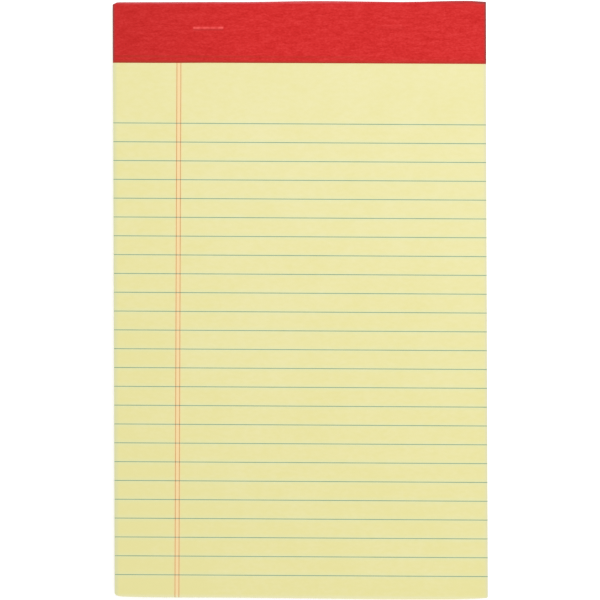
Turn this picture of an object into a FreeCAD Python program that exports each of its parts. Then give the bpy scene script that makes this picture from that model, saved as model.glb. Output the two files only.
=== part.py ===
# Legal pad, junior size: fifty ruled sheets on a chipboard back, stapled through
# and bound at the head by a strip of tape that wraps round from front to back.
#
# Frame: +X across the pad, +Y towards the bound head, +Z up from the surface that
# the pad lies on. The origin is in the middle of the pad's outline, on that surface.
# All lengths are in millimetres.

import FreeCAD
import Part
import math
import os

# The cut pad, seen from above
PAD_WIDTH = 127.0  # between the two side cuts
PAD_LENGTH = 203.2  # the sheets, on the centre line, from their head to the bottom cut
BOTTOM_SKEW = 0.55  # degrees, the bottom cut falls away to the right
WORN_CORNER = 2.0  # radius at the sheets' lower left corner, rubbed round
SQUARE_CORNER = 0.4  # radius at their lower right corner, still nearly sharp
BOARD_CORNER = 0.8  # radius at the backing board's lower corners

# The stack
SHEET_COUNT = 50
SHEET_THICKNESS = 0.086  # one sheet of 60 g/m2 paper with the air under it
BOARD_THICKNESS = 0.7

# The header tape
TAPE_THICKNESS = 0.18
TAPE_FRONT_DEPTH = 21.2  # on the centre line, from the pad's head to the free edge
TAPE_BACK_DEPTH = 20.0
TAPE_SKEW = 0.45  # degrees, the strip was laid on slightly turned
FOLD_RADIUS = 0.5  # inside the tape's two folds

# The staples
STAPLE_LENGTH = 12.7  # along the straight top
STAPLE_SPACING = 62.0  # between their middles
STAPLE_DEPTH = 8.7  # from the pad's head to the wire's middle line
WIRE_WIDTH = 0.6
WIRE_THICKNESS = 0.4
WIRE_BEND = 0.4  # inside radius
LEG_FOLD = 4.5  # length of each leg that lies folded under the board

# The printed ruling, on the top sheet
RULE_SKEW = 0.52  # degrees, the writing lines are turned clockwise on the sheet
MARGIN_SKEW = 0.41  # degrees, the margin line is turned clockwise a little less
RULE_COUNT = 25
RULE_PITCH = 6.4
FIRST_RULE = 41.85  # on the centre line, from the pad's head
RULE_WIDTH = 0.25
MARGIN_FROM_LEFT = 21.9  # to the middle of the double line, at mid-length
MARGIN_SPACING = 1.34  # between its two lines
MARGIN_WIDTH = 0.25
INK_THICKNESS = 0.02

# How far a cutting shape runs past what it cuts
OVERRUN = 5.0

# Heights and places that follow from the sizes above
BOARD_Z = TAPE_THICKNESS
SHEETS_Z = BOARD_Z + BOARD_THICKNESS
PAGE_Z = SHEETS_Z + SHEET_COUNT * SHEET_THICKNESS
PAD_Z = PAGE_Z + TAPE_THICKNESS
HALF_WIDTH = PAD_WIDTH / 2
CUT_SLOPE = math.tan(math.radians(BOTTOM_SKEW))
TAPE_SLOPE = math.tan(math.radians(TAPE_SKEW))
HEAD_Y = (PAD_LENGTH + TAPE_THICKNESS + HALF_WIDTH * CUT_SLOPE) / 2
STACK_Y = HEAD_Y - TAPE_THICKNESS
STAPLE_Y = HEAD_Y - STAPLE_DEPTH


def bottom_y(x):
    """The bottom cut's place at x."""
    return STACK_Y - PAD_LENGTH - x * CUT_SLOPE


def front_edge_y(x):
    """The free edge of the tape on the front, at x."""
    return HEAD_Y - TAPE_FRONT_DEPTH - x * TAPE_SLOPE


def back_edge_y(x):
    """The free edge of the tape on the back: the strip is as wide all along."""
    return HEAD_Y - TAPE_BACK_DEPTH + x * TAPE_SLOPE


def prism(points, z_low, z_high):
    """A straight-sided solid over a plan outline."""
    corners = [FreeCAD.Vector(x, y, z_low) for x, y in points]
    face = Part.Face(Part.makePolygon(corners + corners[:1]))
    return face.extrude(FreeCAD.Vector(0, 0, z_high - z_low))


def upright_edge(solid, x, y):
    """The solid's upright edge that stands at x, y."""

    def distance(edge):
        middle = edge.CenterOfMass
        return math.hypot(middle.x - x, middle.y - y)

    return min(solid.Edges, key=distance)


def pad_outline(left_radius, right_radius):
    """All that lies between the side cuts and above the bottom cut."""
    top = HEAD_Y + OVERRUN
    left = (-HALF_WIDTH, bottom_y(-HALF_WIDTH))
    right = (HALF_WIDTH, bottom_y(HALF_WIDTH))
    outline = prism([left, right, (HALF_WIDTH, top), (-HALF_WIDTH, top)], 0, PAD_Z)
    for corner, radius in ((left, left_radius), (right, right_radius)):
        outline = outline.makeFillet(radius, [upright_edge(outline, *corner)])
    return outline


def bar(y_low, y_high, z_low, z_high, lower_radius, upper_radius):
    """A bar across the pad, rounded below and above at its head end where asked."""

    def point(y, z):
        return FreeCAD.Vector(-HALF_WIDTH, y, z)

    def corner_arc(start, end, centre_z, radius, side):
        middle = point(
            y_high - radius + radius * math.sqrt(0.5),
            centre_z + side * radius * math.sqrt(0.5),
        )
        return Part.Arc(start, middle, end).toShape()

    low_turn = point(y_high - lower_radius, z_low)
    low_wall = point(y_high, z_low + lower_radius)
    high_wall = point(y_high, z_high - upper_radius)
    high_turn = point(y_high - upper_radius, z_high)
    edges = [Part.makeLine(point(y_low, z_high), point(y_low, z_low))]
    edges.append(Part.makeLine(point(y_low, z_low), low_turn))
    if lower_radius > 0:
        edges.append(corner_arc(low_turn, low_wall, z_low + lower_radius, lower_radius, -1))
    edges.append(Part.makeLine(low_wall, high_wall))
    if upper_radius > 0:
        edges.append(corner_arc(high_wall, high_turn, z_high - upper_radius, upper_radius, 1))
    edges.append(Part.makeLine(high_turn, point(y_low, z_high)))
    face = Part.Face(Part.Wire(edges))
    return face.extrude(FreeCAD.Vector(PAD_WIDTH, 0, 0))


def staple(x_middle):
    """One staple as it sits clinched: a flat ring, open between its folded legs."""

    def rounded(inset, radius):
        box = Part.makeBox(
            STAPLE_LENGTH - 2 * inset,
            WIRE_WIDTH,
            PAGE_Z - BOARD_Z - 2 * inset,
            FreeCAD.Vector(
                x_middle - STAPLE_LENGTH / 2 + inset,
                STAPLE_Y - WIRE_WIDTH / 2,
                BOARD_Z + inset,
            ),
        )
        corners = [e for e in box.Edges if abs(e.tangentAt(e.FirstParameter).y) > 0.5]
        return box.makeFillet(radius, corners)

    between_legs = STAPLE_LENGTH - 2 * LEG_FOLD
    opening = Part.makeBox(
        between_legs,
        WIRE_WIDTH,
        WIRE_THICKNESS,
        FreeCAD.Vector(x_middle - between_legs / 2, STAPLE_Y - WIRE_WIDTH / 2, BOARD_Z),
    )
    ring = rounded(0, WIRE_BEND + WIRE_THICKNESS).cut(rounded(WIRE_THICKNESS, WIRE_BEND))
    return ring.cut(opening)


def staples():
    """Both staples, level with the top sheet and with the board's back."""
    places = (-STAPLE_SPACING / 2, STAPLE_SPACING / 2)
    return Part.makeCompound([staple(x) for x in places])


def backing_board(wire):
    """The chipboard back, with the grooves that the staples are pressed into."""
    whole = bar(
        bottom_y(HALF_WIDTH) - OVERRUN, STACK_Y, BOARD_Z, SHEETS_Z, FOLD_RADIUS, 0
    )
    return whole.common(pad_outline(BOARD_CORNER, BOARD_CORNER)).cut(wire)


def sheet_block(wire):
    """The fifty sheets as one block, with the holes that the staples made."""
    whole = bar(
        bottom_y(HALF_WIDTH) - OVERRUN, STACK_Y, SHEETS_Z, PAGE_Z, 0, FOLD_RADIUS
    )
    return whole.common(pad_outline(WORN_CORNER, SQUARE_CORNER)).cut(wire)


def header_tape():
    """The strip wrapped over the head, with its two free edges."""
    reach = HEAD_Y - max(TAPE_FRONT_DEPTH, TAPE_BACK_DEPTH) - OVERRUN
    outer_radius = FOLD_RADIUS + TAPE_THICKNESS
    outer = bar(reach, HEAD_Y, 0, PAD_Z, outer_radius, outer_radius)
    inner = bar(reach, STACK_Y, BOARD_Z, PAGE_Z, FOLD_RADIUS, FOLD_RADIUS)
    top = HEAD_Y + OVERRUN
    halves = []
    for edge_y, z_low, z_high in (
        (back_edge_y, 0, PAD_Z / 2),
        (front_edge_y, PAD_Z / 2, PAD_Z),
    ):
        ends = [(x, edge_y(x)) for x in (-HALF_WIDTH, HALF_WIDTH)]
        plan = ends + [(HALF_WIDTH, top), (-HALF_WIDTH, top)]
        halves.append(prism(plan, z_low, z_high))
    kept = halves[0].fuse(halves[1])
    return outer.cut(inner).common(kept).removeSplitter()


def open_page():
    """The part of the top sheet that the tape leaves open, as thick as the ink."""
    sheet = pad_outline(WORN_CORNER, SQUARE_CORNER)
    top = HEAD_Y + OVERRUN
    left = (-HALF_WIDTH - OVERRUN, front_edge_y(-HALF_WIDTH - OVERRUN))
    right = (HALF_WIDTH + OVERRUN, front_edge_y(HALF_WIDTH + OVERRUN))
    under_tape = prism(
        [left, right, (right[0], top), (left[0], top)], 0, PAD_Z
    )
    layer = Part.makeBox(
        PAD_WIDTH + 2 * OVERRUN,
        PAD_LENGTH + 2 * OVERRUN,
        INK_THICKNESS,
        FreeCAD.Vector(left[0], bottom_y(HALF_WIDTH) - OVERRUN, PAGE_Z),
    )
    return sheet.common(layer).cut(under_tape)


def printed(x_low, x_high, y_low, y_high, skew):
    """A printed bar, turned clockwise about the middle of the pad."""
    ink = Part.makeBox(
        x_high - x_low,
        y_high - y_low,
        INK_THICKNESS,
        FreeCAD.Vector(x_low, y_low, PAGE_Z),
    )
    ink.rotate(FreeCAD.Vector(0, 0, 0), FreeCAD.Vector(0, 0, 1), -skew)
    return ink


def margin_rules(page):
    """The double line down the left margin."""
    middle = MARGIN_FROM_LEFT - HALF_WIDTH
    lines = []
    for x in (middle - MARGIN_SPACING / 2, middle + MARGIN_SPACING / 2):
        sides = (x - MARGIN_WIDTH / 2, x + MARGIN_WIDTH / 2)
        line = printed(*sides, -PAD_LENGTH, PAD_LENGTH, MARGIN_SKEW)
        lines += line.common(page).Solids
    return Part.makeCompound(lines)


def blue_rules(page, margin):
    """The writing lines, broken where the margin's two lines cross them."""
    pieces = []
    for number in range(RULE_COUNT):
        y = HEAD_Y - FIRST_RULE - number * RULE_PITCH
        edges = (y - RULE_WIDTH / 2, y + RULE_WIDTH / 2)
        line = printed(-PAD_WIDTH, PAD_WIDTH, *edges, RULE_SKEW)
        pieces += line.common(page).cut(margin).Solids
    return Part.makeCompound(pieces)


wire = staples()
page = open_page()
margin = margin_rules(page)
nodes = {
    "backing_board": backing_board(wire),
    "sheet_block": sheet_block(wire),
    "header_tape": header_tape(),
    "staples": wire,
    "blue_rules": blue_rules(page, margin),
    "margin_rules": margin,
}

os.makedirs("parts", exist_ok=True)
for name, shape in nodes.items():
    box = shape.BoundBox
    print(
        f"{name}: {len(shape.Solids)} solids, {shape.Volume:.2f} mm3, "
        f"{box.XLength:.2f} x {box.YLength:.2f} x {box.ZLength:.2f}, valid {shape.isValid()}"
    )
    shape.exportStep(f"parts/{name}.step")
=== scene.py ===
import math

import bpy
import numpy as np
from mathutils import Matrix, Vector


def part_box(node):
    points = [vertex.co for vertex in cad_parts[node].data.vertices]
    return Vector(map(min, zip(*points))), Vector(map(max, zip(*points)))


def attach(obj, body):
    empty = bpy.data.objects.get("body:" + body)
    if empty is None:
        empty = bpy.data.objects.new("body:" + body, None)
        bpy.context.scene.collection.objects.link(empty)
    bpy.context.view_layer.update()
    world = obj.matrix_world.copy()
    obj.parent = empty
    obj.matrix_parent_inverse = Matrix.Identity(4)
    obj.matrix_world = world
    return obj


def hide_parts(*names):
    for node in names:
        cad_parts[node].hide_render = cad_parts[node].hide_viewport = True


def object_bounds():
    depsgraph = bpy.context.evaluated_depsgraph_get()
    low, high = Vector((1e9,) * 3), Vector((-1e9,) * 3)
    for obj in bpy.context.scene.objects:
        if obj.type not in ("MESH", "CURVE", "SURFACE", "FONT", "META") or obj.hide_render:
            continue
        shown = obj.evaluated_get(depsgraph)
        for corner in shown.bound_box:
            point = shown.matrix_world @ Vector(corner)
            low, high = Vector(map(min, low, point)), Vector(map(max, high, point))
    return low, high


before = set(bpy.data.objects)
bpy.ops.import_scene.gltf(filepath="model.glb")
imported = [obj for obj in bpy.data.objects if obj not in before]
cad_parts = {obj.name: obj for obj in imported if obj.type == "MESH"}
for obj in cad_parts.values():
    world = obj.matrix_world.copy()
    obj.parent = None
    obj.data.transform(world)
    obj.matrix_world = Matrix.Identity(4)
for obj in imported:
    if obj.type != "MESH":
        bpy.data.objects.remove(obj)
cad_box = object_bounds()

# The picture is taken from straight above with a long lens. The pad lies a little
# turned in it, so the camera is turned by as much about its own line of sight.
PICTURE_SIDE = 600 * 0.3401e-3  # 600 pixels, each 0.3401 mm of the page
PICTURE_CENTRE = (-0.12e-3, 0.24e-3)
PICTURE_TURN = math.radians(-0.2)
LENS = 100  # mm
SENSOR = 36  # mm

page_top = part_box("sheet_block")[1][2]
copy_lens = bpy.data.cameras.new("copy_camera")
copy_lens.lens = LENS
copy_lens.sensor_width = SENSOR
camera = bpy.data.objects.new("copy_camera", copy_lens)
camera.location = (*PICTURE_CENTRE, page_top + PICTURE_SIDE * LENS / SENSOR)
camera.rotation_euler = (0, 0, PICTURE_TURN)
bpy.context.scene.collection.objects.link(camera)
bpy.context.scene.camera = camera
bpy.context.scene.view_settings.view_transform = "Standard"


# The pad lies on a white table in a white room. One large soft lamp stands above the
# head and to the right, which leaves the foot and the left side a shade darker.
WHITE = (1, 1, 1, 1)
ROOM_LIGHT = 0.60  # where 1 is white
BACKDROP_LIGHT = 1.0
LAMP_PLACE = (0.30, 0.27, 0.87)
LAMP_SIZE = 0.8
LAMP_POWER = 4.78  # watts
TABLE_SIDE = 6.0
TABLE_DROP = 0.02e-3  # below the pad's lowest face
TABLE_WHITE = (0.9, 0.9, 0.9, 1)
TABLE_GLOW = 0.44  # what the table sends to the camera beside the light that falls on it


def add(tree, kind, *values, **settings):
    """Adds a node. Its inputs in use take the values in order, or by name from a dictionary.
    A value that is a node or a socket is linked."""
    made = tree.nodes.new(kind)
    for name, value in settings.items():
        setattr(made, name, value)
    in_use = [socket for socket in made.inputs if socket.enabled]
    by_name = {socket.name: socket for socket in reversed(in_use)}
    given = dict(enumerate(values))
    if values and isinstance(values[-1], dict):
        given.update(given.pop(len(values) - 1))
    for key, value in given.items():
        target = by_name[key] if isinstance(key, str) else in_use[key]
        if isinstance(value, bpy.types.Node):
            value = next(socket for socket in value.outputs if socket.enabled)
        if isinstance(value, bpy.types.NodeSocket):
            tree.links.new(value, target)
        else:
            target.default_value = value
    return made


def put(name, mesh):
    """Puts a mesh into the scene at the origin."""
    made = bpy.data.objects.new(name, mesh)
    bpy.context.scene.collection.objects.link(made)
    return made


def seen_directly(tree):
    """1 for what the camera, a reflection or a clear body sees, 0 for light on a surface."""
    path = add(tree, "ShaderNodeLightPath").outputs
    seen = add(
        tree, "ShaderNodeMath", path["Is Camera Ray"], path["Is Glossy Ray"], operation="MAXIMUM"
    )
    return add(tree, "ShaderNodeMath", seen, path["Is Transmission Ray"], operation="MAXIMUM")


room = bpy.data.worlds.new("white_room")
room.use_nodes = True
tree = room.node_tree
tree.nodes.clear()
as_light = add(tree, "ShaderNodeBackground", WHITE, ROOM_LIGHT)
as_backdrop = add(tree, "ShaderNodeBackground", WHITE, BACKDROP_LIGHT)
walls = add(tree, "ShaderNodeMixShader", seen_directly(tree), as_light, as_backdrop)
add(tree, "ShaderNodeOutputWorld", {"Surface": walls})
bpy.context.scene.world = room

softbox = bpy.data.lights.new("softbox", "AREA")
softbox.size = LAMP_SIZE
softbox.energy = LAMP_POWER
lamp = bpy.data.objects.new("softbox", softbox)
lamp.location = LAMP_PLACE
lamp.rotation_euler = Vector(LAMP_PLACE).to_track_quat("Z", "Y").to_euler()
bpy.context.scene.collection.objects.link(lamp)

laminate = bpy.data.materials.new("white_table_laminate")
laminate.use_nodes = True
tree = laminate.node_tree
tree.nodes.clear()
glow_seen = add(tree, "ShaderNodeMath", seen_directly(tree), TABLE_GLOW, operation="MULTIPLY")
glow = add(tree, "ShaderNodeEmission", {"Strength": glow_seen})
lit = add(tree, "ShaderNodeBsdfDiffuse", TABLE_WHITE)
top_side = add(tree, "ShaderNodeAddShader", lit, glow)
underside = add(tree, "ShaderNodeBsdfTransparent")
from_below = add(tree, "ShaderNodeNewGeometry").outputs["Backfacing"]
table_look = add(tree, "ShaderNodeMixShader", from_below, top_side, underside)
add(tree, "ShaderNodeOutputMaterial", {"Surface": table_look})

half_table = TABLE_SIDE / 2
table_corners = [
    (side_x * half_table, side_y * half_table, -TABLE_DROP)
    for side_x, side_y in ((-1, -1), (1, -1), (1, 1), (-1, 1))
]
table_top = bpy.data.meshes.new("table")
table_top.from_pydata(table_corners, [], [(0, 1, 2, 3)])
table_top.materials.append(laminate)
table = put("table", table_top)


# The backing board is grey chipboard, 0.7 mm of waste paper pulp pressed flat. It is
# cut with the sheets in one stroke, and its lower corners are rubbed round.
BOARD_CORNERS = ((0.8e-3, 0.8e-3), (0.8e-3, 0.8e-3))  # along the bottom cut, up the side
LEAF_CELL = 7e-3  # the mesh that lets a leaf bend
CORNER_STEPS = 4
CHIPBOARD_GREY = "#A2978A"
CHIPBOARD_PALE = "#B9AF9F"
CHIPBOARD_DARK = "#6E6459"
PULP_GRAIN = 1.8e-3
PULP_RANGE = (0.15, 0.85)  # of the noise, from the grey to the pale
FLECK_SPACING = 1.6e-3
FLECK_GRAIN = 1.1e-3  # how soon the flecks change in size
FLECK_RANGE = (0.42, 0.34, 0.0, 0.8)  # two distances, and the dark's share at them
FELT_GRAIN = 0.5e-3
FELT_DEPTH = 0.05e-3

# The guillotine's bottom cut falls away to the right. Its blade wandered a little, as
# each bump says: its place along the cut, how far out the edge comes, how wide it is.
BOTTOM_SKEW = math.radians(0.55)
BOTTOM_CUT_IN = 0.12e-3  # the cut lies so far inside the board's outline
BOTTOM_BUMPS = (
    (-63.5e-3, -0.30e-3, 9e-3),
    (-25e-3, -0.16e-3, 26e-3),
    (31e-3, 0.10e-3, 16e-3),
    (63.5e-3, -0.50e-3, 7e-3),
)
# The head is drawn in by its glue and its staples, and so it is not quite straight.
# The stack is pressed thin there, and the air between the sheets fills it at the foot.
HEAD_IN = 0.16e-3
HEAD_BUMPS = (
    (-18e-3, -0.07e-3, 7e-3),
    (2e-3, 0.15e-3, 10e-3),
    (12e-3, 0.08e-3, 9e-3),
    (35e-3, -0.22e-3, 10e-3),
    (54e-3, 0.08e-3, 6e-3),
    (63.5e-3, -0.25e-3, 3e-3),
    (-63.5e-3, -0.72e-3, 0.85e-3),  # a knocked corner
)
HEAD_REACH = 6e-3
HEAD_PRESS = 0.10e-3
FOOT_SWELL = 0.13e-3
TAPE_FRONT_DEPTH = 21.2e-3  # from the head to the tape's free edge, on the centre line

board_low, board_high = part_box("backing_board")
head_y = cad_box[1][1]
half_width = board_high[0]
foot_y = board_low[1] + half_width * math.tan(BOTTOM_SKEW) + BOTTOM_CUT_IN  # at x = 0


def bottom_cut(x):
    """Where the bottom cut is at x."""
    wander = sum(out * np.exp(-(((x - at) / wide) ** 2)) for at, out, wide in BOTTOM_BUMPS)
    return foot_y - x * math.tan(BOTTOM_SKEW) - wander


def linear(hex_colour):
    """A written sRGB colour as the linear one that a shader takes."""
    parts = [int(hex_colour[i : i + 2], 16) / 255 for i in (1, 3, 5)]
    return (*[p / 12.92 if p <= 0.04045 else ((p + 0.055) / 1.055) ** 2.4 for p in parts], 1)


def new_material(name):
    """A new material, its node tree, its shader, and a point's place on the pad in it."""
    made = bpy.data.materials.new(name)
    made.use_nodes = True
    place = add(made.node_tree, "ShaderNodeTexCoord").outputs["Object"]
    return made, made.node_tree, made.node_tree.nodes["Principled BSDF"], place


def new_geometry_tree(name, inputs):
    """A new geometry tree with named inputs, and the node that gives them."""
    made = bpy.data.node_groups.new(name, "GeometryNodeTree")
    made.interface.new_socket("Geometry", in_out="INPUT", socket_type="NodeSocketGeometry")
    made.interface.new_socket("Geometry", in_out="OUTPUT", socket_type="NodeSocketGeometry")
    for label, (kind, value) in inputs.items():
        socket = made.interface.new_socket(
            label, in_out="INPUT", socket_type="NodeSocket" + kind
        )
        if value is not None:
            socket.default_value = value
    return made, made.nodes.new("NodeGroupInput").outputs


def apply_tree(piece, tree, **inputs):
    """Runs a geometry tree on a piece once and leaves the result as the piece's plain mesh."""
    modifier = piece.modifiers.new(tree.name, "NODES")
    modifier.node_group = tree
    values = {label.replace("_", " ").title(): value for label, value in inputs.items()}
    for socket in tree.interface.items_tree:
        if socket.name in values:
            modifier[socket.identifier] = values[socket.name]
    evaluated = piece.evaluated_get(bpy.context.evaluated_depsgraph_get())
    mesh = bpy.data.meshes.new_from_object(evaluated)
    piece.modifiers.clear()
    piece.data = mesh


def bell(tree, away, wide):
    """A bell curve over the distance away: 1 in its middle and 1 / e where it is as wide."""
    away = add(tree, "ShaderNodeMath", away, wide, operation="DIVIDE")
    away = add(tree, "ShaderNodeMath", away, away, operation="MULTIPLY")
    away = add(tree, "ShaderNodeMath", away, -1.0, operation="MULTIPLY")
    return add(tree, "ShaderNodeMath", away, operation="EXPONENT")


settled, given = new_geometry_tree(
    "settled_pad",
    {
        "Head": ("Float", head_y),
        "Head In": ("Float", HEAD_IN),
        "Head Reach": ("Float", HEAD_REACH),
        "Head Press": ("Float", HEAD_PRESS),
        "Tape Edge": ("Float", head_y - TAPE_FRONT_DEPTH),
        "Foot": ("Float", foot_y),
        "Foot Swell": ("Float", FOOT_SWELL),
        "Base": ("Float", board_low[2]),
        "Page": ("Float", page_top),
    },
)
here = add(settled, "ShaderNodeSeparateXYZ", add(settled, "GeometryNodeInputPosition"))
level = add(
    settled,
    "ShaderNodeMapRange",
    {"Value": here.outputs["Z"], "From Min": given["Base"], "From Max": given["Page"]},
)
free_play = add(
    settled, "ShaderNodeMath", given["Head Press"], given["Foot Swell"], operation="ADD"
)
opened = add(
    settled,
    "ShaderNodeMapRange",
    {
        "Value": here.outputs["Y"],
        "From Min": given["Tape Edge"],
        "From Max": given["Foot"],
        "To Max": free_play,
    },
    interpolation_type="SMOOTHSTEP",
)
lift = add(settled, "ShaderNodeMath", opened, given["Head Press"], operation="SUBTRACT")
lift = add(settled, "ShaderNodeMath", lift, level, operation="MULTIPLY")
pull = add(settled, "ShaderNodeMath", given["Head In"], -1.0, operation="MULTIPLY")
for at, out, wide in HEAD_BUMPS:
    away = add(settled, "ShaderNodeMath", here.outputs["X"], at, operation="SUBTRACT")
    bump = bell(settled, away, wide)
    pull = add(settled, "ShaderNodeMath", bump, out, pull, operation="MULTIPLY_ADD")
reach_start = add(
    settled, "ShaderNodeMath", given["Head"], given["Head Reach"], operation="SUBTRACT"
)
near_head = add(
    settled,
    "ShaderNodeMapRange",
    {"Value": here.outputs["Y"], "From Min": reach_start, "From Max": given["Head"]},
    interpolation_type="SMOOTHSTEP",
)
pull = add(settled, "ShaderNodeMath", pull, near_head, operation="MULTIPLY")
shift = add(settled, "ShaderNodeCombineXYZ", {"Y": pull, "Z": lift})
moved = add(
    settled, "GeometryNodeSetPosition", {"Geometry": given["Geometry"], "Offset": shift}
)
add(settled, "NodeGroupOutput", moved)


def rounded_corner(along, up, radii):
    """Draws the mesh together round a corner, from square to an ellipse's quarter."""
    u = 1 - along / radii[0]
    v = 1 - up / radii[1]
    inside = (u > 0) & (v > 0)
    longer = np.maximum(np.maximum(u, v), 1e-9)
    angle = np.where(u >= v, v / longer, 2 - u / longer) * math.pi / 4
    along = np.where(inside, radii[0] * (1 - longer * np.cos(angle)), along)
    up = np.where(inside, radii[1] * (1 - longer * np.sin(angle)), up)
    return along, up


def closed_skin(name, upper, lower):
    """A closed mesh from two grids of points, with a rim between their edges."""
    rows, columns = upper.shape[:2]
    count = rows * columns
    index = np.arange(count).reshape(rows, columns)
    cells = np.stack([index[:-1, :-1], index[:-1, 1:], index[1:, 1:], index[1:, :-1]], -1)
    cells = cells.reshape(-1, 4)
    rim = np.concatenate([index[0], index[1:, -1], index[-1, -2::-1], index[-2:0:-1, 0]])
    after = np.roll(rim, -1)
    walls = np.stack([rim + count, after + count, after, rim], -1)
    faces = np.concatenate([cells, cells[:, ::-1] + count, walls])
    points = np.concatenate([upper.reshape(-1, 3), lower.reshape(-1, 3)])
    mesh = bpy.data.meshes.new(name)
    mesh.from_pydata(points.tolist(), [], faces.tolist())
    return mesh


def leaf(name, z_low, z_high, inset, corners):
    """One cut leaf: straight sides and head, the bottom cut, and its two worn corners."""
    inner = half_width - inset
    head = board_high[1]
    length = head - foot_y
    steps = np.linspace(0, 1, CORNER_STEPS, endpoint=False)
    (left_along, left_up), (right_along, right_up) = corners
    across = np.concatenate(
        [
            -inner + left_along * steps,
            np.arange(-inner + left_along, inner - right_along, LEAF_CELL),
            inner - right_along * (1 - steps),
            [inner],
        ]
    )
    corner_up = max(left_up, right_up)
    upwards = np.concatenate(
        [corner_up * steps, np.arange(corner_up, length, LEAF_CELL), [length]]
    )
    x, y = np.meshgrid(across, upwards)
    for side, radii in zip((-1, 1), corners):
        along, y = rounded_corner(inner - side * x, y, radii)
        x = side * (inner - along)
    cut = bottom_cut(x)
    y = cut + y * (head - cut) / length
    upper = np.stack([x, y, np.full_like(x, z_high)], -1)
    lower = np.stack([x, y, np.full_like(x, z_low)], -1)
    return closed_skin(name, upper, lower)


# Chipboard is dull and slightly felted, with dark and pale flecks of the paper it was.
chipboard, tree, shader, place = new_material("grey_chipboard")
pulp = add(tree, "ShaderNodeTexNoise", {"Vector": place, "Scale": 1 / PULP_GRAIN, "Detail": 6.0})
pulp = add(tree, "ShaderNodeMapRange", pulp, *PULP_RANGE)
board_colour = add(
    tree, "ShaderNodeMix", pulp, linear(CHIPBOARD_GREY), linear(CHIPBOARD_PALE), data_type="RGBA"
)
fleck = add(tree, "ShaderNodeTexVoronoi", {"Vector": place, "Scale": 1 / FLECK_SPACING})
fleck_size = add(tree, "ShaderNodeTexNoise", {"Vector": place, "Scale": 1 / FLECK_GRAIN})
fleck = add(tree, "ShaderNodeMath", fleck_size, 0.5, fleck, operation="MULTIPLY_ADD")
fleck = add(tree, "ShaderNodeMapRange", fleck, *FLECK_RANGE)
board_colour = add(
    tree, "ShaderNodeMix", fleck, board_colour, linear(CHIPBOARD_DARK), data_type="RGBA"
)
felt = add(tree, "ShaderNodeTexNoise", {"Vector": place, "Scale": 1 / FELT_GRAIN, "Detail": 4.0})
felt = add(tree, "ShaderNodeBump", {"Strength": 0.5, "Distance": FELT_DEPTH, "Height": felt})
tree.links.new(board_colour.outputs["Result"], shader.inputs["Base Color"])
tree.links.new(felt.outputs["Normal"], shader.inputs["Normal"])
shader.inputs["Roughness"].default_value = 0.92
shader.inputs["Specular IOR Level"].default_value = 0.25

one_leaf, given = new_geometry_tree("one_leaf", {"Material": ("Material", None)})
bent = add(one_leaf, "GeometryNodeGroup", {"Geometry": given["Geometry"]}, node_tree=settled)
real = add(one_leaf, "GeometryNodeRealizeInstances", bent)
finished = add(
    one_leaf, "GeometryNodeSetMaterial", {"Geometry": real, "Material": given["Material"]}
)
add(one_leaf, "NodeGroupOutput", finished)

board = put(
    "chipboard_back", leaf("chipboard_back", board_low[2], board_high[2], 0.0, BOARD_CORNERS)
)
apply_tree(board, one_leaf, material=chipboard)
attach(board, "root")
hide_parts("backing_board")


# The fifty sheets are canary writing paper, uncoated and dyed in the pulp. They lie loose
# from the tape down, each a hair out of line with the next, and the lower left corner
# has been rubbed off by use.
SHEET_COUNT = 50
SHEET_FILL = 0.9  # the paper's share of a sheet's pitch, the rest is air
SHEET_SLIP = 0.025e-3
SHEET_TURN = math.radians(0.008)
SHEET_INSET = 0.042e-3  # a sheet is so much narrower at each side that it can slip and turn
SHEET_CORNERS = ((2.7e-3, 1.1e-3), (0.7e-3, 0.5e-3))
FOLD_RADIUS = 0.5e-3  # the stack's upper edge is pressed round under the tape's fold
CANARY = "#F0EAB2"
CANARY_DEEP = "#ECE5A1"
CANARY_CUT = "#DDD48F"
CLOUD_SIZE = 12e-3
CLOUD_SHARE = 0.18  # how far a cloud or a fibre moves the colour between the two canaries
FIBRE_SIZE = 1.1e-3  # real fibres are finer than the picture can show
FIBRE_SHARE = 0.25
PAINTED_SHADE_DOWN = (0.3, 0.9)  # the deep canary's share at the tape and at the foot, a painted shade
# Painted shade towards the left side: where it starts, and its share at the side
PAINTED_SHADE_LEFT_FROM = -20e-3
PAINTED_SHADE_LEFT = 0.3
TOOTH_DEPTH = 0.02e-3
CUT_TONE_LENGTH = 50e-3  # a sheet's cut edge keeps its tone for about as long
CUT_TONE_STEP = 0.4  # the way through the noise from one sheet to the next
RULE_COUNT = 25
RULE_PITCH = 6.4e-3
FIRST_RULE = 41.85e-3  # from the head, on the centre line
RULE_SKEW = math.radians(0.52)
RULE_BLUSH = "#DEECC4"  # where the writing lines' ink has run into the paper
RULE_BLUSH_SHARE = 0.22
RULE_BLUSH_REACH = (0.5e-3, 1.6e-3)  # it is even up to the first and fades to the second
MARGIN_BLUSH = "#FCDCA5"  # the same of the margin's ink
MARGIN_PLACE = -41.6e-3  # the middle of the margin's double line, at mid-length
MARGIN_SKEW = math.radians(0.41)
MARGIN_SPACING = 1.34e-3
# Its blush, twice: even up to the first and gone at the second spacing, and its share
MARGIN_BLUSHES = ((0.5, 1.3, 0.35), (0.35, 0.7, 0.75))
# The page's edges are greyed, and the left one is darkened as a painted shade: how far in, how
# strongly, and to which colour
EDGE_TINT_FLAT = 0.3e-3  # the outermost strip, which is greyed evenly
PAINTED_SHADE_LEFT_EDGE = (1.8e-3, 0.65, "#DADDB4")
GREYED_RIGHT_EDGE = (1.3e-3, 0.70, "#E3E1BF")
GREYED_FOOT_EDGE = (1.5e-3, 0.80, "#EDEABD")

block_low, block_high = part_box("sheet_block")
sheet_pitch = (block_high[2] - block_low[2]) / SHEET_COUNT


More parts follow.
